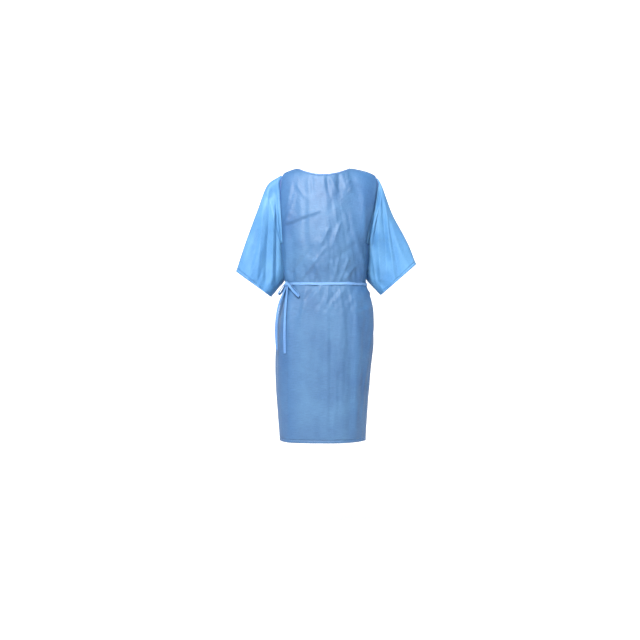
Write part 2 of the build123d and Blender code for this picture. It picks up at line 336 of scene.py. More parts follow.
def trunk_label(row, column):
    if COL["side_right"] <= column < COL["side_right_end"]:
        return "side_seam_right"
    if COL["side_left"] <= column < COL["side_left_end"]:
        return "side_seam_left"
    if column < COL["side_right"]:
        place = "right"
    elif column >= COL["side_left_end"]:
        place = "left"
    else:
        return "front_hem" if row == 0 else "front_panel"
    if row == 0:
        return "flap_hem_" + place
    if column < COL["facing_right"] or column >= COL["facing_left"]:
        return "back_facing_" + place
    return "back_panel_" + place


def yoke_label(first, place):
    def label(row, column):
        column += first
        if row == YOKE_ROWS - 2:
            if place == "front" and not COL["neck_right"] <= column < COL["neck_left"]:
                return "shoulder_seam_" + ("right" if column < COL["neck_right"] else "left")
            if place != "front" and (COL["back_neck_right"] <= column < COL["back_corner_right"]
                                     or COL["back_corner_left"] <= column < COL["back_neck_left"]):
                return "back_panel_" + place
            return "neck_binding"
        if place == "front":
            return "front_panel"
        if column < COL["facing_right"] or column >= COL["facing_left"]:
            return "back_facing_" + place
        return "back_panel_" + place
    return label


def sleeve_label(side, count):
    def label(row, column):
        if row == 0:
            return "armhole_seam_" + side
        if row == SLEEVE_ROWS - 2:
            return "sleeve_hem_" + side
        if column == (count - 1 if side == "left" else 0):
            return "underarm_seam_" + side
        return "sleeve_" + side
    return label


def armhole_ring(side, trunk, front, back):
    """The armhole's edge, from the underarm's middle up the front and over the shoulder to the back."""
    top = trunk[-1]
    if side == "left":
        middle = (COL["side_left"] + COL["side_left_end"]) // 2
        parts = [top[middle:COL["corner_left"]:-1], front[:, -1], back[::-1][1:, 0],
                 top[COL["back_corner_left"] - 1:middle:-1]]
    else:
        middle = (COL["side_right"] + COL["side_right_end"]) // 2
        parts = [top[middle:COL["corner_right"]], front[:, 0], back[::-1][1:, -1],
                 top[COL["back_corner_right"] + 1:middle]]
    return np.concatenate(parts)


def sleeve_grid(side, ring):
    """Rings of points from the armhole's edge down to the sleeve's open end."""
    shares = along(np.concatenate((ring, ring[:1])))
    shares = shares[:-1] / shares[-1]
    turn = np.linspace(0, math.tau, 721)
    rings = [ring]
    for place, (outer, inner, depth) in enumerate(SLEEVES[side], start=1):
        outer, inner = np.array(outer), np.array(inner)
        bulge = np.abs(np.sin(turn)) ** 0.85 * np.sign(np.sin(turn))
        oval = ((outer + inner) / 2 + np.cos(turn)[:, None] * (inner - outer) / 2
                + bulge[:, None] * np.array([0, -depth, 0]))
        circle = resample(oval, shares * along(oval)[-1])
        angle = shares * math.tau
        wave = sum(size * pleat(count * angle + phase) for count, size, phase in SLEEVE_WAVES[side])
        circle[:, 1] -= wave * (place / len(SLEEVES[side])) ** 2.5
        rings.append(circle)
    table = np.array([[k, *points.ravel()] for k, points in enumerate(rings)])
    end = len(rings) - 1
    places = np.linspace(0, end, SLEEVE_ROWS)
    places[1], places[-2] = 0.10, end - 0.13
    grid = curve_through(table, places).reshape(SLEEVE_ROWS, len(ring), 3)
    front = smooth(shares / 0.10) * smooth((0.48 - shares) / 0.10)
    grid[:, :, 1] += TUCK * np.outer(np.sin(math.pi * np.minimum(places / 1.1, 1.0)), front)
    return grid


def flat_of(grid, shift):
    """Where each grid point lies on the flat cloth, for the cloth's own pattern."""
    rows, columns = grid.shape[:2]
    u = np.array([along(row) for row in grid]).mean(axis=0)
    v = np.array([along(grid[:, c]) for c in range(columns)]).mean(axis=0)
    flat = np.zeros((rows, columns, 2))
    flat[..., 0] = u[None, :] + shift
    flat[..., 1] = v[:, None]
    return flat


def garment(outline, waves):
    """The whole gown as one cloth, in the shape given by an outline."""
    cloth = Cloth()
    trunk = trunk_grid(outline, waves=waves)
    foot = trunk[-1]
    flat = flat_of(trunk, 0.0)
    cloth.add_grid(trunk, trunk_label, flat)
    runs = {
        "right": (COL["start"], COL["back_corner_right"], False),
        "front": (COL["corner_right"], COL["corner_left"], True),
        "left": (COL["back_corner_left"], COL["end"], False),
    }
    yokes = {}
    for place, (first, last, is_front) in runs.items():
        grid = yoke_grid(foot, first, last, is_front)
        yokes[place] = grid
        grid_flat = flat_of(grid, 0.0)
        grid_flat[..., 0] = flat[-1, first:last + 1, 0]
        grid_flat[..., 1] += flat[-1, first, 1]
        cloth.add_grid(grid, yoke_label(first, place), grid_flat)
    for side, back in (("left", yokes["left"]), ("right", yokes["right"])):
        ring = armhole_ring(side, trunk, yokes["front"], back)
        grid = sleeve_grid(side, ring)
        label = sleeve_label(side, len(ring))
        cloth.add_grid(grid, label, flat_of(grid, 2.0), wrap=True, flip=side == "left")
    return np.concatenate(cloth.points), cloth


def weld(points):
    """For each point the first point at the same place."""
    tree = KDTree(len(points))
    for i, p in enumerate(points):
        tree.insert(p, i)
    tree.balance()
    first = np.array([min(i for _, i, _ in tree.find_range(p, 1e-5)) for p in points])
    kept, index = np.unique(first, return_inverse=True)
    return kept, index


def new_mesh(name, points, faces):
    mesh = bpy.data.meshes.new(name)
    mesh.from_pydata(np.asarray(points).tolist(), [], [tuple(int(i) for i in f) for f in faces])
    mesh.update()
    mesh.polygons.foreach_set("use_smooth", [True] * len(mesh.polygons))
    return mesh


def new_object(name, mesh):
    obj = bpy.data.objects.new(name, mesh)
    bpy.context.collection.objects.link(obj)
    return obj


def mesh_points(mesh):
    points = np.empty(len(mesh.vertices) * 3)
    mesh.vertices.foreach_get("co", points)
    return points.reshape(-1, 3)


# ---- The whole garment, draped ----

worn_all, cloth = garment(WORN, waves=True)
cut_all, _ = garment(CUT, waves=False)
kept, index = weld(worn_all)
worn = worn_all[kept]
cut = cut_all[kept] * np.array([EASE, EASE, 1.0])
faces = index[np.array(cloth.faces)]
names = sorted(set(cloth.labels))
label_numbers = np.array([names.index(label) for label in cloth.labels])
flat_all = np.concatenate(cloth.flat)

whole = new_object("whole_gown", new_mesh("whole_gown", worn, faces))
layer = whole.data.uv_layers.new(name="cloth")
layer.data.foreach_set("uv", flat_all[np.array(cloth.faces)].ravel())
whole.data.polygons.foreach_set("material_index", label_numbers)


def mannequin():
    """A form inside the gown that the cloth falls against, without arms."""
    trunk = trunk_grid(WORN, inset=0.009)
    grids = [trunk]
    foot = trunk[-1]
    for first, last, front in ((COL["start"], COL["back_corner_right"], False),
                               (COL["corner_right"], COL["corner_left"], True),
                               (COL["back_corner_left"], COL["end"], False)):
        grids.append(yoke_grid(foot, first, last, front, inset=0.010))
    points, form_faces = [], []
    for grid in grids:
        start = sum(len(p) for p in points)
        rows, columns = grid.shape[:2]
        points.append(grid.reshape(-1, 3))
        form_faces.extend((start + r * columns + c, start + r * columns + c + 1,
                           start + (r + 1) * columns + c + 1, start + (r + 1) * columns + c)
                          for r in range(rows - 1) for c in range(columns - 1))
    points = np.concatenate(points)
    points[:, 0] = FOOT_LEAN + (points[:, 0] - FOOT_LEAN) * 0.95
    form = new_object("form", new_mesh("form", points, form_faces))
    form.modifiers.new("Collision", "COLLISION")
    form.collision.thickness_outer = 0.002
    form.collision.cloth_friction = 8
    return form


def hold_weights(points, is_sleeve, is_ring):
    """How firmly each point keeps its worn place: the belt, neck and shoulders hold, the rest hangs."""
    x, y, z = points.T
    hold = np.full(len(points), 0.03)
    hold = np.maximum(hold, np.exp(-((z - BELT_Z) / 0.017) ** 2))
    hold = np.maximum(hold, smooth((z + 0.075) / 0.045))
    lap = (y > 0) & (np.abs(x) < LAP_X + 0.03)
    hold = np.where(lap, np.maximum(hold, 0.45), hold)
    hold = np.where(is_sleeve, np.maximum(hold, 0.40), hold)
    return np.where(is_ring, np.maximum(hold, 0.6), hold)


def drape(obj, rest, hold):
    """Lets the cloth fall from its worn shape towards the size it was cut to, and returns its points."""
    start = mesh_points(obj.data)
    obj.shape_key_add(name="worn")
    key = obj.shape_key_add(name="cut")
    key.data.foreach_set("co", rest.ravel())
    key.value = 0.0
    group = obj.vertex_groups.new(name="hold")
    for i, weight in enumerate(hold):
        group.add([i], float(weight), "REPLACE")
    form = mannequin()
    cloth_mod = obj.modifiers.new("Drape", "CLOTH")
    settings = cloth_mod.settings
    settings.quality = 6
    settings.mass = 0.12
    settings.tension_stiffness = 18
    settings.compression_stiffness = 18
    settings.shear_stiffness = 8
    settings.bending_stiffness = 1.2
    settings.tension_damping = 6
    settings.compression_damping = 6
    settings.shear_damping = 6
    settings.air_damping = 2
    settings.vertex_group_mass = "hold"
    settings.pin_stiffness = 1.0
    settings.rest_shape_key = key
    cloth_mod.collision_settings.distance_min = 0.002
    cloth_mod.point_cache.frame_start = 1
    cloth_mod.point_cache.frame_end = DRAPE_FRAMES
    scene = bpy.context.scene
    scene.frame_start, scene.frame_end = 1, DRAPE_FRAMES
    for frame_number in range(1, DRAPE_FRAMES + 1):
        scene.frame_set(frame_number)
    shown = obj.evaluated_get(bpy.context.evaluated_depsgraph_get())
    draped = mesh_points(shown.data)
    obj.modifiers.remove(cloth_mod)
    obj.shape_key_clear()
    bpy.data.objects.remove(form)
    scene.frame_set(1)
    moved = draped - start
    size = np.linalg.norm(moved, axis=1)
    moved *= (DRAPE_LIMIT * np.tanh(size / DRAPE_LIMIT) / np.maximum(size, 1e-9))[:, None]
    return start + moved


sleeve_faces = np.array(["sleeve" in n or "underarm" in n for n in cloth.labels])
ring_faces = np.array(["armhole" in n for n in cloth.labels])
is_sleeve, is_ring = np.zeros(len(worn), bool), np.zeros(len(worn), bool)
is_sleeve[np.unique(faces[sleeve_faces])] = True
is_ring[np.unique(faces[ring_faces])] = True

draped = drape(whole, cut, hold_weights(worn, is_sleeve, is_ring))
whole.data.vertices.foreach_set("co", draped.ravel())
whole.data.update()

# ---- Finer cloth, with the folds that wear presses into it ----

refine = whole.modifiers.new("Fine", "SUBSURF")
refine.levels = refine.render_levels = 1
refine.boundary_smooth = "PRESERVE_CORNERS"
fine = bpy.data.meshes.new_from_object(whole.evaluated_get(bpy.context.evaluated_depsgraph_get()))
bpy.data.objects.remove(whole)

# Folds on the front: ends (x, z), half width, height (negative for a valley)
FOLDS = [
    ((-0.126, -0.070), (-0.150, -0.226), 0.008, 0.0042),
    ((-0.112, -0.105), (-0.146, -0.230), 0.007, 0.0034),
    ((-0.122, -0.120), (-0.148, -0.200), 0.006, -0.0028),
    ((-0.150, -0.228), (-0.018, -0.182), 0.008, 0.0042),
    ((-0.146, -0.240), (-0.060, -0.206), 0.008, -0.0032),
    ((-0.108, -0.070), (-0.070, -0.130), 0.010, 0.0022),
    ((-0.047, -0.042), (-0.045, -0.115), 0.007, -0.0024),
    ((0.012, -0.044), (0.024, -0.125), 0.006, -0.0026),
    ((0.022, -0.044), (0.056, -0.105), 0.007, 0.0028),
    ((0.060, -0.034), (0.062, -0.090), 0.006, -0.0024),
    ((0.072, -0.026), (0.090, -0.095), 0.006, 0.0030),
    ((0.088, -0.022), (0.106, -0.105), 0.006, 0.0030),
    ((0.104, -0.020), (0.122, -0.090), 0.006, -0.0024),
    ((0.158, -0.110), (0.160, -0.300), 0.010, 0.0036),
    ((0.086, -0.190), (0.096, -0.255), 0.006, 0.0022),
    ((0.102, -0.190), (0.118, -0.240), 0.006, 0.0022),
    ((0.108, -0.230), (0.166, -0.410), 0.009, 0.0036),
    ((0.118, -0.290), (0.134, -0.450), 0.012, -0.0036),
    ((0.066, -0.225), (0.028, -0.330), 0.008, 0.0036),
    ((0.024, -0.245), (-0.014, -0.320), 0.008, 0.0030),
    ((0.010, -0.325), (-0.095, -0.455), 0.009, 0.0036),
    ((-0.040, -0.320), (-0.120, -0.420), 0.010, -0.0026),
    ((0.026, -0.325), (0.024, -0.455), 0.007, -0.0032),
    ((0.062, -0.350), (0.040, -0.455), 0.007, 0.0034),
    ((0.098, -0.365), (0.064, -0.455), 0.007, 0.0034),
    ((0.124, -0.395), (0.076, -0.458), 0.006, 0.0030),
    ((-0.020, -0.390), (-0.040, -0.455), 0.007, 0.0024),
    ((-0.150, -0.232), (-0.140, -0.455), 0.010, 0.0046),
    ((-0.124, -0.260), (-0.120, -0.455), 0.012, -0.0030),
    ((-0.134, -0.510), (-0.132, -1.080), 0.018, 0.0050),
    ((0.126, -0.500), (0.124, -1.080), 0.018, 0.0054),
    ((0.014, -0.480), (0.014, -1.084), 0.0055, 0.0014),
    ((0.020, -0.478), (0.006, -0.560), 0.007, 0.0028),
    ((0.036, -0.478), (0.044, -0.560), 0.007, -0.0026),
    ((0.060, -0.478), (0.074, -0.590), 0.007, 0.0030),
    ((-0.014, -0.478), (-0.020, -0.540), 0.006, 0.0022),
    ((-0.070, -0.480), (-0.090, -0.640), 0.009, 0.0026),
    ((0.100, -0.480), (0.118, -0.590), 0.007, 0.0028),
    ((-0.060, -0.560), (0.080, -0.600), 0.014, 0.0006),
    ((0.130, -0.580), (0.186, -0.560), 0.009, 0.0018),
]
RING_SINK = 0.0066  # how far the armhole seams lie under the cloth beside them
FOLD_STRENGTH = 1.6
FOLD_WIDTH = 0.8
SLEEVE_STRENGTH = 1.6
SLEEVE_FOLDS = [
    ((-0.213, -0.100), (-0.231, -0.480), 0.013, -0.0032),
    ((-0.196, -0.120), (-0.209, -0.500), 0.010, 0.0026),
    ((-0.186, -0.200), (-0.190, -0.480), 0.008, -0.0020),
    ((-0.238, -0.150), (-0.268, -0.470), 0.018, 0.0030),
    ((-0.252, -0.230), (-0.300, -0.450), 0.014, -0.0018),
    ((-0.240, -0.112), (-0.206, -0.122), 0.006, -0.0016),
    ((0.234, -0.086), (0.252, -0.440), 0.013, -0.0034),
    ((0.240, -0.120), (0.284, -0.450), 0.011, 0.0032),
    ((0.258, -0.220), (0.302, -0.440), 0.010, -0.0024),
    ((0.262, -0.200), (0.326, -0.410), 0.014, 0.0018),
    ((0.210, -0.120), (0.198, -0.260), 0.009, 0.0028),
    ((0.222, -0.150), (0.196, -0.330), 0.009, -0.0030),
    ((0.216, -0.250), (0.232, -0.480), 0.010, 0.0024),
    ((0.194, -0.330), (0.212, -0.470), 0.006, 0.0020),
]
SLEEVE_BACK_SHIFT = (0.012, 0.0, 0.030)  # the sleeves' backs fold along nearly the same lines
BACK_FOLDS = [
    ((-0.120, -0.080), (-0.140, -0.240), 0.012, 0.0035),
    ((0.110, -0.070), (0.135, -0.250), 0.012, 0.0035),
    ((0.130, -0.300), (0.060, -0.440), 0.012, 0.0030),
    ((-0.130, -0.300), (-0.070, -0.430), 0.012, 0.0030),
    ((0.080, -0.500), (0.110, -0.760), 0.012, 0.0035),
    ((-0.100, -0.500), (-0.120, -0.800), 0.013, 0.0035),
    ((0.140, -0.560), (0.135, -1.080), 0.022, 0.0040),
    ((-0.145, -0.560), (-0.140, -1.080), 0.022, 0.0040),
]


def fold_heights(points, folds):
    """How far each point stands out on the folds, from its place seen from the front."""
    height = np.zeros(len(points))
    spot = points[:, [0, 2]]
    for start, end, half, rise in folds:
        start, end, half = np.array(start), np.array(end), half * FOLD_WIDTH
        run = end - start
        t = (spot - start) @ run / (run @ run)
        off = np.abs((spot - start) @ np.array([run[1], -run[0]]) / np.linalg.norm(run)) / half
        ends = smooth((t + 0.12) / 0.3) * smooth((1.12 - t) / 0.3)
        height += FOLD_STRENGTH * rise * ends * (0.6 * np.exp(-1.6 * off) + 0.4 * np.exp(-off**2))
    return height


def crumple(points):
    """The small uneven creases of pressed nonwoven cloth."""
    x, y, z = points.T
    around = np.arctan2(y, x) * 0.16
    height = np.zeros(len(points))
    for _ in range(26):
        scale = rng.uniform(90, 330)
        tilt = rng.normal(0.0, 0.55)
        phase = rng.uniform(0, math.tau)
        place = rng.uniform(-0.2, 0.2), rng.uniform(-1.0, -0.05)
        swell = np.exp(-((around - place[0]) ** 2 / 0.022 + (z - place[1]) ** 2 / 0.05))
        travel = around * math.cos(tilt) + z * math.sin(tilt) * 0.4
        height += swell * np.sin(scale * travel + phase) / scale ** 0.8
    return height * 0.045


points = mesh_points(fine)
normals = np.empty(len(fine.vertices) * 3)
fine.vertex_normals.foreach_get("vector", normals)
normals = normals.reshape(-1, 3)
loops = np.empty(len(fine.polygons) * 4, int)
fine.polygons.foreach_get("vertices", loops)
quads = loops.reshape(-1, 4)
numbers = np.empty(len(quads), int)
fine.polygons.foreach_get("material_index", numbers)
uvs = np.empty(len(fine.loops) * 2)
fine.uv_layers[0].data.foreach_get("uv", uvs)
uvs = uvs.reshape(-1, 4, 2)

on_sleeve = np.zeros(len(points), bool)
sleeve_numbers = [i for i, n in enumerate(names) if "sleeve" in n or "underarm" in n]
on_sleeve[np.unique(quads[np.isin(numbers, sleeve_numbers)])] = True
facing = np.where(normals[:, 1] < 0, smooth((-normals[:, 1] - 0.15) / 0.4), 0)
behind = np.where(normals[:, 1] > 0, smooth((normals[:, 1] - 0.15) / 0.4), 0)
calm = 1 - 0.85 * np.exp(-((points[:, 2] - BELT_Z) / 0.014) ** 2)  # the belt presses the folds flat
height = np.where(on_sleeve,
                  SLEEVE_STRENGTH * fold_heights(points, SLEEVE_FOLDS) * facing
                  + SLEEVE_STRENGTH * fold_heights(points + SLEEVE_BACK_SHIFT, SLEEVE_FOLDS) * behind,
                  fold_heights(points, FOLDS) * facing + fold_heights(points, BACK_FOLDS) * behind)
height += crumple(points) * np.where(on_sleeve, 0.8, 1.0)
ring_numbers = [i for i, n in enumerate(names) if "armhole" in n]
sunk = np.zeros(len(points))
sunk[np.unique(quads[np.isin(numbers, ring_numbers)])] = RING_SINK
points = points + normals * (height * calm - sunk)[:, None]


# ---- Materials ----

class Nodes:
    """A small helper for building a material's nodes."""

    def __init__(self, name):
        self.material = bpy.data.materials.new(name)
        self.material.use_nodes = True
        self.tree = self.material.node_tree
        self.tree.nodes.clear()
        self.output = self.add("OutputMaterial")

    def add(self, kind, **values):
        node = self.tree.nodes.new("ShaderNode" + kind)
        for key, value in values.items():
            setattr(node, key, value)
        return node

    def link(self, source, target):
        self.tree.links.new(source, target)

    def place(self, scale, kind="UV"):
        mapping = self.add("Mapping")
        mapping.inputs["Scale"].default_value = scale
        self.link(self.add("TexCoord").outputs[kind], mapping.inputs["Vector"])
        return mapping.outputs["Vector"]

    def noise(self, vector, scale, detail=3.0, roughness=0.55):
        node = self.add("TexNoise")
        node.inputs["Scale"].default_value = scale
        node.inputs["Detail"].default_value = detail
        node.inputs["Roughness"].default_value = roughness
        self.link(vector, node.inputs["Vector"])
        return node.outputs["Fac"]

    def ramp(self, value, *stops):
        node = self.add("ValToRGB")
        elements = node.color_ramp.elements
        while len(elements) < len(stops):
            elements.new(0.5)
        for element, (at, color) in zip(elements, stops):
            element.position = at
            element.color = (*color, 1.0) if hasattr(color, "__len__") else (color, color, color, 1.0)
        self.link(value, node.inputs["Fac"])
        return node.outputs["Color"]

    def mix(self, blend, factor, a, b):
        node = self.add("Mix", data_type="RGBA", blend_type=blend)
        node.inputs["Factor"].default_value = factor
        self.link(a, node.inputs["A"])
        self.link(b, node.inputs["B"])
        return node.outputs["Result"]

    def bump(self, *heights):
        """Bumps laid over each other, each a value, a strength and a distance."""
        normal = None
        for value, strength, distance in heights:
            node = self.add("Bump")
            node.inputs["Strength"].default_value = strength
            node.inputs["Distance"].default_value = distance
            self.link(value, node.inputs["Height"])
            if normal is not None:
                self.link(normal, node.inputs["Normal"])
            normal = node.outputs["Normal"]
        return normal


def srgb(*levels):
    """Scene colour of an sRGB colour given from 0 to 255."""
    return tuple((c / 255 / 12.92) if c <= 10 else ((c / 255 + 0.055) / 1.055) ** 2.4 for c in levels)


def nonwoven(name, dark, light, through, glow, streak=0.30, painted_side_shade=(1.0, 1.0, 1.0)):
    """Bonded nonwoven cloth: laid fibres, drawn streaks, bond points and light that comes through.
    The last argument darkens the cloth away from the gown's middle: painted shade where the cloth turns
    from the light."""
    n = Nodes(name)
    cloth_place = n.place((1, 1, 1))
    streak_place = n.place((34, 900, 1))
    drawn = n.noise(streak_place, 1.0, 3.0, 0.6)
    cloudy = n.noise(n.place((1, 1, 1), "Object"), 9.0, 3.0)
    fibres = n.noise(cloth_place, 1500.0, 5.0, 0.7)
    clumps = n.noise(cloth_place, 160.0, 4.0, 0.65)
    base = n.ramp(cloudy, (0.30, dark), (0.72, light))
    base = n.mix("MULTIPLY", 1.0, base, n.ramp(drawn, (0.32, 1.0 - streak), (0.62, 1.0)))
    base = n.mix("MULTIPLY", 1.0, base, n.ramp(clumps, (0.30, 0.90), (0.68, 1.0)))
    # Painted shade: the colour darkens away from the gown's middle, where the cloth turns from the light
    split = n.add("SeparateXYZ")
    n.link(n.place((1, 1, 1), "Object"), split.inputs["Vector"])
    off_middle = n.add("Math", operation="ABSOLUTE")
    n.link(split.outputs["X"], off_middle.inputs[0])
    base = n.mix("MULTIPLY", 1.0, base, n.ramp(off_middle.outputs[0], (0.085, 1.0), (0.155, painted_side_shade)))
    bonds = n.add("TexVoronoi", feature="F1", distance="EUCLIDEAN")
    bonds.inputs["Scale"].default_value = 520.0
    bonds.inputs["Randomness"].default_value = 0.12
    n.link(cloth_place, bonds.inputs["Vector"])
    dots = n.ramp(bonds.outputs["Distance"], (0.18, 0.0), (0.42, 1.0))
    base = n.mix("MULTIPLY", 0.16, base, dots)
    creased = n.noise(cloth_place, 46.0, 4.0, 0.62)
    normal = n.bump((creased, 0.60, 0.0030), (clumps, 0.36, 0.0009), (drawn, 0.14, 0.0004),
                    (fibres, 0.22, 0.00012), (dots, 0.30, 0.00012))
    surface = n.add("BsdfPrincipled")
    n.link(base, surface.inputs["Base Color"])
    n.link(n.ramp(fibres, (0.3, 0.50), (0.7, 0.66)), surface.inputs["Roughness"])
    surface.inputs["Specular IOR Level"].default_value = 0.54
    surface.inputs["Sheen Weight"].default_value = 0.06
    surface.inputs["Sheen Roughness"].default_value = 0.45
    surface.inputs["Sheen Tint"].default_value = (*light, 1.0)
    n.link(normal, surface.inputs["Normal"])
    lit = n.add("BsdfTranslucent")
    thick = n.ramp(clumps, (0.25, 0.88), (0.7, 1.0))
    let_through = n.ramp(drawn, (0.3, through), (0.6, light))
    n.link(n.mix("MULTIPLY", 1.0, thick, let_through), lit.inputs["Color"])
    n.link(normal, lit.inputs["Normal"])
    both = n.add("MixShader")
    both.inputs["Fac"].default_value = glow
    n.link(surface.outputs["BSDF"], both.inputs[1])
    n.link(lit.outputs["BSDF"], both.inputs[2])
    n.link(both.outputs["Shader"], n.output.inputs["Surface"])
    return n.material


def plain_tape(name, dark, light, scale, rough):
    """Woven tape or thread: short crossing fibres in two close shades."""
    n = Nodes(name)
    place = n.place((1, 1, 1), "Object")
    fibres = n.noise(place, scale, 4.0, 0.7)
    wave = n.add("TexWave", wave_type="BANDS", bands_direction="DIAGONAL")
    wave.inputs["Scale"].default_value = scale * 0.5
    wave.inputs["Distortion"].default_value = 2.0
    n.link(place, wave.inputs["Vector"])
    threads = n.ramp(wave.outputs["Fac"], (0.1, 0.6), (0.8, 1.0))
    base = n.mix("MULTIPLY", 0.35, n.ramp(fibres, (0.3, dark), (0.7, light)), threads)
    surface = n.add("BsdfPrincipled")
    n.link(base, surface.inputs["Base Color"])
    n.link(n.ramp(fibres, (0.3, rough - 0.08), (0.7, rough + 0.08)), surface.inputs["Roughness"])
    surface.inputs["Sheen Weight"].default_value = 0.3
    n.link(n.bump((fibres, 0.4, 0.0003), (wave.outputs["Fac"], 0.3, 0.0002)), surface.inputs["Normal"])
    n.link(surface.outputs["BSDF"], n.output.inputs["Surface"])
    return n.material


# Each cloth: dark and light shade, shade of the light through it, share of that light, streaks, and the
# painted shade that darkens it away from the gown's middle
CLOTHS = {
    # Painted shade: the body's shades are darker than the sleeves' for the shade of the form inside it,
    # though both are one nonwoven
    "body_cloth": ((57, 98, 142), (75, 118, 159), (60, 114, 176), 0.14, 0.30, (0.68, 0.86, 0.98)),
    # Painted light: the sleeves' shades are lighter than the body's for the light that comes through them
    "sleeve_cloth": ((86, 146, 198), (112, 172, 216), (134, 190, 234), 0.42, 0.16),
    # Painted shade: the armhole seams are the body's cloth a shade darker, for the shade in the creases
    # beside them
    "seam_cloth": ((38, 76, 132), (50, 90, 148), (50, 100, 170), 0.06),
    "edge_cloth": ((82, 118, 168), (100, 138, 188), (84, 130, 196), 0.10),
    "belt_cloth": ((82, 126, 178), (108, 152, 200), (106, 154, 210), 0.08, 0.12),
    # Painted shade: the bow's loops and tails are the belt's cloth painted a shade darker
    "tail_cloth": ((70, 114, 168), (94, 140, 192), (92, 144, 206), 0.08, 0.12),
}
MATERIALS = {name: nonwoven(name, *(srgb(*shade) for shade in values[:3]), *values[3:])
             for name, values in CLOTHS.items()}
MATERIALS["hook_tape"] = plain_tape("hook_tape", srgb(198, 208, 220), srgb(228, 234, 240), 900.0, 0.5)
MATERIALS["loop_tape"] = plain_tape("loop_tape", srgb(206, 216, 228), srgb(236, 240, 246), 700.0, 0.75)
# Two of the cloths are shades of a cloth that the record names: the armhole seams' and the bow's are the
# body's and the belt's cloth with painted shade
THREAD = plain_tape("thread", srgb(86, 122, 174), srgb(104, 142, 192), 2500.0, 0.6)

# ---- Sewn pieces ----

INNER = 0.0002  # how far a piece's inner face lies inside the cloth's middle
face_names = np.array([names[i] for i in numbers])


def boundary_edges(chosen):
    """The edges that only one of the chosen faces has, each in that face's own direction."""
    count, seen = {}, {}
    for f in chosen:
        q = quads[f]
        for k in range(4):
            a, b = int(q[k]), int(q[(k + 1) % 4])
            key = (min(a, b), max(a, b))
            count[key] = count.get(key, 0) + 1
            seen[key] = (a, b)
    return [seen[key] for key, n in count.items() if n == 1]


def chains(edges):
    """Joins edges into lines of points, end to end."""
    following = {}
    for a, b in edges:
        following.setdefault(a, []).append(b)
    starts = sorted(set(following) - {b for _, b in edges}) + sorted(following)
    lines = []
    for start in starts:
        line = [start]
        while following.get(line[-1]):
            line.append(following[line[-1]].pop())
        if len(line) > 2:
            lines.append(line)
    return lines


def stitches(line, lift, pitch=0.0040, length=0.0026, radius=0.00030):
    """Short threads laid along a line of places with their outward directions."""
    spots, outs = line
    s = along(spots)
    made_points, made_faces = [], []
    for at in np.arange(pitch, s[-1] - pitch, pitch):
        ends = [np.array([np.interp(at + d, s, spots[:, k]) for k in range(3)])
                for d in (-length / 2, -length / 4, length / 4, length / 2)]
        out = np.array([np.interp(at, s, outs[:, k]) for k in range(3)])
        out /= max(np.linalg.norm(out), 1e-9)
        run = ends[-1] - ends[0]
        run /= max(np.linalg.norm(run), 1e-9)
        side = np.cross(run, out)
        start = len(made_points)
        for k, (end, size) in enumerate(zip(ends, (0.35, 1.0, 1.0, 0.35))):
            sink = -0.0002 if k in (0, 3) else 0.0
            for a, b in ((1, 0), (0, 1), (-1, 0), (0, -1)):
                rise = lift + sink + b * radius * size
                made_points.append(end + out * rise + side * a * radius * size)
        for k in range(3):
            for j in range(4):
                a = start + 4 * k
                made_faces.append((a + j, a + (j + 1) % 4, a + 4 + (j + 1) % 4, a + 4 + j))
        made_faces.append((start + 3, start + 2, start + 1, start))
        made_faces.append((start + 12, start + 13, start + 14, start + 15))
    return made_points, made_faces


def sewn(name, outer, rim=None, material="edge_cloth"):
    """One sewn piece of the gown, as a closed thin shell. outer is how far its outer face stands out.
    rim is the same at its edges, and a piece that has one has threads along them."""
    chosen = np.nonzero(face_names == name)[0]
    used, local = np.unique(quads[chosen], return_inverse=True)
    local = local.reshape(-1, 4)
    edges = boundary_edges(chosen)
    on_edge = np.isin(used, np.unique(np.array(edges)))
    height = np.where(on_edge, outer if rim is None else rim, outer)
    top = points[used] + normals[used] * height[:, None]
    low = points[used] - normals[used] * INNER
    number = {int(v): i for i, v in enumerate(used)}
    size = len(used)
    made = [tuple(q) for q in local] + [tuple(size + q[::-1]) for q in local]
    made_uv = list(uvs[chosen].reshape(-1, 2)) + list(uvs[chosen][:, ::-1].reshape(-1, 2))
    some_uv = {int(v): at for q, uv in zip(quads[chosen], uvs[chosen]) for v, at in zip(q, uv)}
    for a, b in edges:
        i, j = number[a], number[b]
        made.append((j, i, size + i, size + j))
        made_uv.extend((some_uv[b], some_uv[a], some_uv[a], some_uv[b]))
    all_points = list(top) + list(low)
    cloth_faces = len(made)
    if rim is not None:
        middle = {int(v) for v, edge in zip(used, on_edge) if not edge}
        near = {}
        for q in quads[chosen]:
            for k in range(4):
                a, b = int(q[k]), int(q[(k + 1) % 4])
                for p, other in ((a, b), (b, a)):
                    if other in middle:
                        near[p] = other
        for line in chains(edges):
            inner = [v for v in line if v in near and v not in middle]
            if len(inner) < 4:
                continue
            spots = np.array([points[v] * 0.62 + points[near[v]] * 0.38 for v in inner])
            outs = np.array([normals[v] for v in inner])
            more_points, more_faces = stitches((spots, outs), (outer + rim) / 2)
            base = len(all_points)
            all_points.extend(more_points)
            made.extend(tuple(base + i for i in f) for f in more_faces)
            made_uv.extend([np.zeros(2)] * sum(len(f) for f in more_faces))
    kinds = [0] * cloth_faces + [1] * (len(made) - cloth_faces)
    return cloth_object("cloth_" + name, all_points, made, made_uv, kinds, material)


def cloth_object(name, all_points, all_faces, all_uv, kinds, material):
    """An object with the cloth's pattern. kinds is 0 for a face of cloth and 1 for a face of thread."""
    obj = new_object(name, new_mesh(name, all_points, all_faces))
    layer = obj.data.uv_layers.new(name="cloth")
    layer.data.foreach_set("uv", np.array(all_uv).ravel())
    obj.data.materials.append(MATERIALS[material])
    obj.data.materials.append(THREAD)
    obj.data.polygons.foreach_set("material_index", kinds)
    return obj


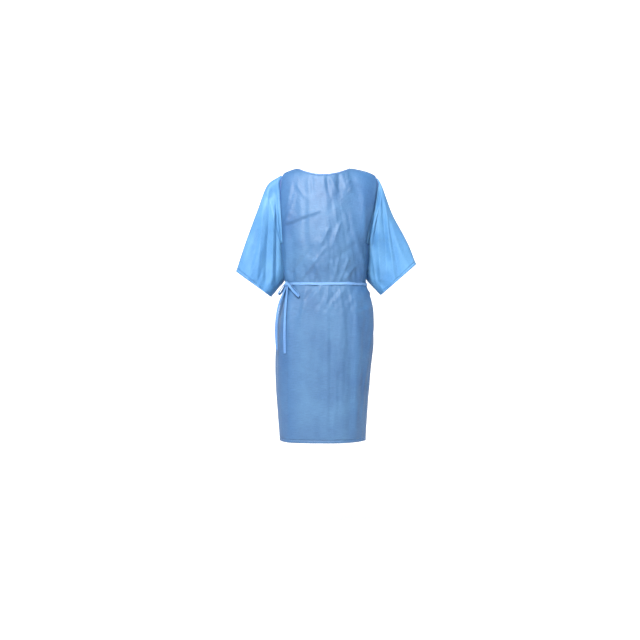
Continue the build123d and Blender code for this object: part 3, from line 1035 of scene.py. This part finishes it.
# Each sewn piece: how far its face and its edges stand out, and its cloth
PAIRS = {
    "back_panel_": (0.0002, None, "body_cloth"),
    "sleeve_": (0.0002, None, "sleeve_cloth"),
    "side_seam_": (0.0007, 0.0003, "body_cloth"),
    "back_facing_": (0.0007, 0.0004, "body_cloth"),
    "flap_hem_": (0.0007, 0.0004, "body_cloth"),
    # The armhole seams take the cloth painted with the creases' shade
    "armhole_seam_": (0.0005, 0.0003, "seam_cloth"),
    "underarm_seam_": (0.0007, 0.0003, "sleeve_cloth"),
    "sleeve_hem_": (0.0008, 0.0004, "sleeve_cloth"),
    "shoulder_seam_": (0.0008, 0.0003, "body_cloth"),
}
gown = {}
for place in ("left", "right"):
    for piece, values in PAIRS.items():
        gown[piece + place] = sewn(piece + place, *values)
gown["front_panel"] = sewn("front_panel", 0.0002, material="body_cloth")
gown["front_hem"] = sewn("front_hem", 0.0007, 0.0004, "body_cloth")
gown["neck_binding"] = sewn("neck_binding", 0.0018, 0.0006)


# ---- Straps: belt, knot, bow loops and tails ----

STRAP_W = 0.010
# Half of a strap's section, across and through: thin in the middle, with a fold along each edge
STRAP_SECTION = ((-0.50, 0.0), (-0.475, 0.42), (-0.40, 0.50), (-0.30, 0.30), (0.0, 0.26),
                 (0.30, 0.30), (0.40, 0.50), (0.475, 0.42), (0.50, 0.0))


def unit(v):
    return v / np.maximum(np.linalg.norm(v, axis=-1, keepdims=True), 1e-9)


def strap(path, across, width=STRAP_W, thick=0.0009, closed=False):
    """Points, faces and UVs of a flat strap along a path. across is its width's direction at each point."""
    path = np.asarray(path, float)
    tangent = (np.roll(path, -1, 0) - np.roll(path, 1, 0)) if closed else np.gradient(path, axis=0)
    tangent = unit(tangent)
    across = np.broadcast_to(np.asarray(across, float), path.shape)
    across = unit(across - tangent * np.sum(across * tangent, axis=1, keepdims=True))
    out = np.cross(tangent, across)
    section_points = list(STRAP_SECTION) + [(u, -v) for u, v in STRAP_SECTION[-2:0:-1]]
    width = np.broadcast_to(width, len(path))
    rings = [path + across * (u * width)[:, None] + out * v * thick for u, v in section_points]
    made = np.array(rings).transpose(1, 0, 2)
    count = len(section_points)
    s = along(path)
    made_faces, made_uv = [], []
    for r in range(len(path) if closed else len(path) - 1):
        e = (r + 1) % len(path)
        end = s[r] + np.linalg.norm(path[e] - path[r])
        for c in range(count):
            d = (c + 1) % count
            made_faces.append((r * count + c, r * count + d, e * count + d, e * count + c))
            u, v = section_points[c][0] * STRAP_W, section_points[d][0] * STRAP_W
            made_uv.extend(((u, s[r]), (v, s[r]), (v, end), (u, end)))
    if not closed:
        made_faces.append(tuple(range(count))[::-1])
        made_faces.append(tuple((len(path) - 1) * count + c for c in range(count)))
        made_uv.extend([(0.0, 0.0)] * count * 2)
    return made.reshape(-1, 3), made_faces, made_uv


def joined(name, parts, material, thread_parts=()):
    """One object from several parts, each points, faces and UVs."""
    all_points, all_faces, all_uv, kinds = [], [], [], []
    for kind, group in enumerate((parts, thread_parts)):
        for part_points, part_faces, part_uv in group:
            base = len(all_points)
            all_points.extend(np.asarray(part_points))
            all_faces.extend(tuple(base + i for i in f) for f in part_faces)
            all_uv.extend(part_uv)
            kinds.extend([kind] * len(part_faces))
    return cloth_object(name, all_points, all_faces, all_uv, kinds, material)


def edge_stitches(path, across, out, lift):
    """Threads along both folded edges of a strap."""
    parts = []
    for side in (-1, 1):
        line = path + across * side * STRAP_W * 0.27
        made_points, made_faces = stitches((line, out), lift, 0.0036, 0.0024, 0.00022)
        parts.append((made_points, made_faces, [(0.0, 0.0)] * sum(len(f) for f in made_faces)))
    return parts


def waist(offset, count):
    """Places round the waist, outside the outer lap, with their outward directions."""
    a, b, lean, square = curve_through(WORN, np.array([BELT_Z]))[0]
    turn = np.linspace(0, math.tau, count, endpoint=False)
    c, s = np.cos(turn), np.sin(turn)
    spots = np.stack([lean + a * c, b * s, np.full(count, BELT_Z)], axis=1)
    outs = unit(np.stack([c / a, s / b, np.zeros(count)], axis=1))
    return spots + outs * offset, outs


BELT_COUNT = 420
belt_line, belt_out = waist(0.0030, BELT_COUNT)
around = np.linspace(0, math.tau, BELT_COUNT, endpoint=False)
belt_line[:, 2] += 0.0007 * np.sin(around * 5 + 0.6) + 0.0004 * np.sin(around * 13 + 2.0)
belt_line += belt_out * (0.0003 * np.sin(around * 9) + 0.0003 * np.sin(around * 23 + 1.0))[:, None]
tilt = 0.10 * np.sin(around * 7)
belt_across = unit(np.stack([tilt * belt_out[:, 0], tilt * belt_out[:, 1], np.ones(BELT_COUNT)], axis=1))
belt_width = STRAP_W * (1 + 0.05 * np.sin(around * 11 + 0.3) + 0.03 * np.sin(around * 29))
belt = strap(belt_line, belt_across, belt_width, 0.0011, closed=True)
gown["waist_belt"] = joined("waist_belt_strap", [belt], "belt_cloth",
                            edge_stitches(belt_line, belt_across, belt_out, 0.0004))

low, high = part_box("belt_knot")
KNOT_OUT = np.array([-0.820, -0.572, 0.0])
KNOT_SIDE = np.array([0.572, -0.820, 0.0])
UP = np.array([0.0, 0.0, 1.0])
KNOT_SHIFT = np.array([0.0085, -0.001, 0.0])  # from the middle of its box to the middle of its turns
knot = np.array((low + high) / 2) + KNOT_SHIFT


def wrap_line(centre, out_reach, up_reach, lean, count=48):
    """A strap's turn over the knot, upright and leaning to one side."""
    turn = np.linspace(0, math.tau, count, endpoint=False)
    tall = UP * math.cos(lean) + KNOT_SIDE * math.sin(lean)
    line = (centre + KNOT_OUT * (np.cos(turn) * out_reach)[:, None]
            + tall * (np.sin(turn) * up_reach)[:, None])
    return line, KNOT_SIDE * math.cos(lean) - UP * math.sin(lean)


# Turns of the knot: sideways shift, reach outward and upward, lean and width
KNOT_TURNS = (
    (0.0, 0.0052, 0.0078, 0.12, 0.0095),
    (0.0035, 0.0041, 0.0066, -0.62, 0.0085),
    (-0.0040, 0.0040, 0.0062, 0.70, 0.0080),
    (0.0, 0.0030, 0.0050, 1.25, 0.0090),
)
knot_parts = []
for shift, out_reach, up_reach, lean, width in KNOT_TURNS:
    line, across = wrap_line(knot + KNOT_SIDE * shift, out_reach, up_reach, lean)
    knot_parts.append(strap(line, across, width, 0.0016, closed=True))
gown["belt_knot"] = joined("belt_knot_wraps", knot_parts, "belt_cloth")


def bow_loop(far, spread, twist, sag, count=64):
    """A bow loop's line from the knot to its far turn and back, with its width's direction."""
    start = knot + KNOT_SIDE * (0.0095 if far @ KNOT_SIDE > 0 else -0.0060) + UP * 0.0025
    run = knot + far - start
    heading = unit(run)
    flat = unit(KNOT_OUT - heading * (KNOT_OUT @ heading))
    side = np.cross(heading, flat)
    t = np.linspace(0, math.tau, count)
    reach = (1 - np.cos(t)) / 2
    open_by = np.sin(t) * np.sin(t / 2) ** 1.2 * spread
    line = (start + run * reach[:, None] + flat * open_by[:, None]
            - UP * (sag * np.sin(t / 2) ** 2)[:, None] + side * (0.0015 * np.sin(2 * t))[:, None])
    angle = twist * np.cos(t / 2) + 0.12 * np.sin(3 * t)
    return line, side * np.cos(angle)[:, None] + flat * np.sin(angle)[:, None]


# Each bow loop: its far end from the knot, spread, twist and sag
BOW_LOOPS = {
    "front": ((0.050, -0.052, -0.049), 0.0095, 0.50, 0.002),
    "side": ((-0.033, 0.020, -0.041), 0.0090, -0.45, 0.002),
}
# The loops, like the tails below, take the belt's cloth painted a shade darker
for name, (far, spread, twist, sag) in BOW_LOOPS.items():
    line, across = bow_loop(np.array(far), spread, twist, sag)
    normal = unit(np.cross(unit(np.gradient(line, axis=0)), across))
    loop = strap(line, across, STRAP_W, 0.0009)
    gown["bow_loop_" + name] = joined("bow_loop_" + name + "_strap", [loop], "tail_cloth",
                                      edge_stitches(line, unit(across), normal, 0.0003))

# A tail turns from the knot's side to these directions of its width and of its sway
TAIL_ACROSS = np.array([0.97, -0.24, 0.0])
TAIL_OUT = np.array([0.24, 0.97, 0.0])
# Each tail's real length and its route
TAILS = {
    "front": (0.270, [
        (-0.1425, -0.0570, -0.4734), (-0.1450, -0.0690, -0.5074), (-0.1490, -0.0850, -0.5494),
        (-0.1515, -0.0935, -0.5994), (-0.1528, -0.0980, -0.6514), (-0.1522, -0.1000, -0.6994),
        (-0.1512, -0.1020, -0.7394)]),
    "side": (0.261, [
        (-0.1475, -0.0488, -0.4734), (-0.1600, -0.0545, -0.5044), (-0.1765, -0.0625, -0.5444),
        (-0.1840, -0.0680, -0.5934), (-0.1870, -0.0705, -0.6444), (-0.1860, -0.0720, -0.6894),
        (-0.1830, -0.0735, -0.7264)]),
}


def tail_line(name, route):
    """The places along the smooth line that a tail's route gives."""
    curve = bpy.data.curves.new(name + "_route", "CURVE")
    curve.dimensions = "3D"
    curve.resolution_u = 12
    spline = curve.splines.new("NURBS")
    spline.points.add(len(route) - 1)
    for point, spot in zip(spline.points, route):
        point.co = (*spot, 1.0)
    spline.order_u = 3
    spline.use_endpoint_u = True
    holder = new_object(name + "_route", curve)
    bpy.context.view_layer.update()
    shown = holder.evaluated_get(bpy.context.evaluated_depsgraph_get())
    line = mesh_points(bpy.data.meshes.new_from_object(shown))
    bpy.data.objects.remove(holder)
    return line


for name, (length, route) in TAILS.items():
    line = tail_line(name, route)
    share = (along(line) / along(line)[-1])[:, None]
    sway = 0.35 * np.sin(share * 9.0 + (0.4 if name == "front" else 2.2)) * share
    across = KNOT_SIDE + (TAIL_ACROSS - KNOT_SIDE) * smooth(share * 1.6)
    across = unit(across + TAIL_OUT * sway)
    normal = unit(np.cross(unit(np.gradient(line, axis=0)), across))
    tail = joined("belt_tail_" + name + "_strap", [strap(line, across, STRAP_W, 0.0008)], "tail_cloth",
                  edge_stitches(line, across, normal, 0.0003))
    gown["belt_tail_" + name] = tail
    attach(tail, "tail_" + name)
    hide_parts("belt_tail_" + name)

# ---- Fastening patches between the two laps at the neck ----


PATCH_LAYERS = ((0.00005, 1.0, 0.0), (0.0006, 0.93, 0.00012))  # lift, size and roughness: foot, face
HOOK_HALF = 0.00022
HOOK_TALL = 0.0004


def patch(name, node, carrier, outside, material, seed):
    """A rounded patch of tape on a back panel's face, with its hooks or loops."""
    random = np.random.default_rng(seed)
    low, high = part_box(node)
    middle, half = (low + high) / 2, (high - low) / 2
    tree = BVHTree.FromObject(carrier, bpy.context.evaluated_depsgraph_get())
    across_count, up_count = 25, 13
    normal_y = 1.0 if outside else -1.0
    made = []
    for lift, shrink, rough in PATCH_LAYERS:
        for j in range(up_count):
            for i in range(across_count):
                u, v = i / (across_count - 1) * 2 - 1, j / (up_count - 1) * 2 - 1
                corner = 1 - 0.045 * (abs(u) ** 6 * abs(v) ** 6)
                x = middle.x + half.x * u * corner * shrink
                z = middle.z + half.z * v * corner * shrink
                hit = tree.ray_cast(Vector((x, 0.3 if outside else 0.0, z)), Vector((0, -normal_y, 0)))[0]
                y = hit.y if hit is not None else middle.y
                uneven = random.uniform(-rough, rough) if rough else 0.0
                made.append((x, y + normal_y * (lift + uneven), z))
    total = across_count * up_count
    made_faces = []
    for layer_start in (0, total):
        for j in range(up_count - 1):
            for i in range(across_count - 1):
                a = layer_start + j * across_count + i
                face = (a, a + 1, a + across_count + 1, a + across_count)
                made_faces.append(face if (layer_start == total) == (normal_y < 0) else face[::-1])
    rim = (list(range(across_count))
           + [j * across_count + across_count - 1 for j in range(1, up_count)]
           + [(up_count - 1) * across_count + i for i in range(across_count - 2, -1, -1)]
           + [j * across_count for j in range(up_count - 2, 0, -1)])
    for a, b in zip(rim, rim[1:] + rim[:1]):
        face = (a, b, total + b, total + a)
        made_faces.append(face if normal_y < 0 else face[::-1])
    for j in range(2, up_count - 2):
        for i in range(2, across_count - 2):
            x, y, z = made[total + j * across_count + i]
            base = len(made)
            lean = random.uniform(-0.0003, 0.0003, 2)
            for a, b in ((-1, -1), (1, -1), (1, 1), (-1, 1)):
                made.append((x + a * HOOK_HALF, y, z + b * HOOK_HALF))
            made.append((x + lean[0], y + normal_y * HOOK_TALL, z + lean[1]))
            for k in range(4):
                face = (base + k, base + (k + 1) % 4, base + 4)
                made_faces.append(face if normal_y < 0 else face[::-1])
    flat_uv = [(made[i][0], made[i][2]) for face in made_faces for i in face]
    return joined(name, [(made, made_faces, flat_uv)], material)


gown["neck_hook_patch"] = patch("hook_patch", "neck_hook_patch", gown["back_panel_right"], True,
                                "hook_tape", 3)
gown["neck_loop_patch"] = patch("loop_patch", "neck_loop_patch", gown["back_panel_left"], False,
                                "loop_tape", 5)

# ---- What each piece follows and stands for ----

rides = ["front_panel", "front_hem", "neck_binding", "waist_belt", "belt_knot", "bow_loop_front",
         "bow_loop_side", "neck_hook_patch", "neck_loop_patch"]
for place in ("left", "right"):
    rides += ["shoulder_seam_" + place, "armhole_seam_" + place]
    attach(gown["flap_hem_" + place], "flap_" + place)
    for piece in ("back_panel_", "back_facing_"):
        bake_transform(gown[piece + place])
    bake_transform(gown["side_seam_" + place])
    for piece in ("sleeve_", "underarm_seam_", "sleeve_hem_"):
        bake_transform(gown[piece + place])
for name in rides:
    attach(gown[name], "gown")
# The pieces that run on below the belt, where the flaps are nodes of their own
BELOW_BELT = {"back_panel_": "back_flap_", "back_facing_": "flap_facing_"}
for name, obj in gown.items():
    below = [part + name[len(piece):] for piece, part in BELOW_BELT.items() if name.startswith(piece)]
    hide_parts(name, *below)

# ---- Studio ----

FLOOR_Z = -1.45
WALL = 8.5  # the studio's radius
COVE = 1.5  # radius of the curve from its floor to its wall
WALL_TOP = 6.5
SIDES = 96


def studio_paper():
    """White paper that glows a little, more so behind the gown than in front of it."""
    n = Nodes("studio_paper")
    paint = n.add("BsdfPrincipled")
    spots = n.noise(n.place((1, 1, 1), "Object"), 3.0)
    n.link(n.ramp(spots, (0.3, 0.91), (0.7, 0.93)), paint.inputs["Base Color"])
    paint.inputs["Roughness"].default_value = 0.9
    paint.inputs["Emission Color"].default_value = (1, 1, 1, 1)
    split = n.add("SeparateXYZ")
    n.link(n.place((1 / WALL, 1 / WALL, 1 / WALL), "Object"), split.inputs["Vector"])
    shift = n.add("Math", operation="MULTIPLY_ADD")
    shift.inputs[1].default_value = 0.5
    shift.inputs[2].default_value = 0.5
    n.link(split.outputs["Y"], shift.inputs[0])
    glow = n.ramp(shift.outputs[0], (0.0, 0.14), (0.35, 0.18), (0.66, 0.52))
    n.link(glow, paint.inputs["Emission Strength"])
    n.link(paint.outputs["BSDF"], n.output.inputs["Surface"])
    return n.material


sweep = [(0.02, FLOOR_Z), (2.0, FLOOR_Z), (4.0, FLOOR_Z), (WALL - COVE, FLOOR_Z)]
sweep += [(WALL - COVE + COVE * math.sin(t), FLOOR_Z + COVE * (1 - math.cos(t)))
          for t in np.linspace(0.1, math.pi / 2, 14)]
sweep += [(WALL, WALL_TOP)]
turns = np.linspace(0, math.tau, SIDES + 1)[:-1]
stage_points = [(r * math.cos(t), r * math.sin(t), z) for t in turns for r, z in sweep]
size = len(sweep)
stage_faces = [(k * size + i, (k + 1) % SIDES * size + i, (k + 1) % SIDES * size + i + 1, k * size + i + 1)
               for k in range(SIDES) for i in range(size - 1)]
stage_faces.append(tuple(k * size for k in range(SIDES))[::-1])
backdrop = new_object("studio_sweep", new_mesh("studio_sweep", stage_points, stage_faces))
backdrop.data.materials.append(studio_paper())

world = bpy.data.worlds.new("studio_world")
world.use_nodes = True
world.node_tree.nodes["Background"].inputs["Color"].default_value = (0.96, 0.98, 1.0, 1.0)
world.node_tree.nodes["Background"].inputs["Strength"].default_value = 0.18
bpy.context.scene.world = world
bpy.context.scene.view_settings.view_transform = "Standard"


def area_light(name, spot, target, size, power, color=(1.0, 1.0, 1.0)):
    light = bpy.data.lights.new(name, "AREA")
    light.shape = "DISK"
    light.size = size
    light.energy = power
    light.color = color
    lamp = new_object(name, light)
    lamp.location = spot
    lamp.rotation_euler = (Vector(target) - Vector(spot)).to_track_quat("-Z", "Y").to_euler()


area_light("key", (-0.66, -2.40, 1.95), (0.0, 0.0, -0.48), 0.7, 285)
area_light("rim", (0.4, 1.6, 1.2), (0.0, 0.0, -0.4), 1.6, 8)

camera = bpy.data.cameras.new("camera")
camera.sensor_width = 36.0
camera.lens = 56.25
camera.clip_end = 60.0
viewer = new_object("camera", camera)
viewer.location = (-0.014, -4.0, -0.608)
viewer.rotation_euler = (math.pi / 2, 0.0, 0.0)
bpy.context.scene.camera = viewer
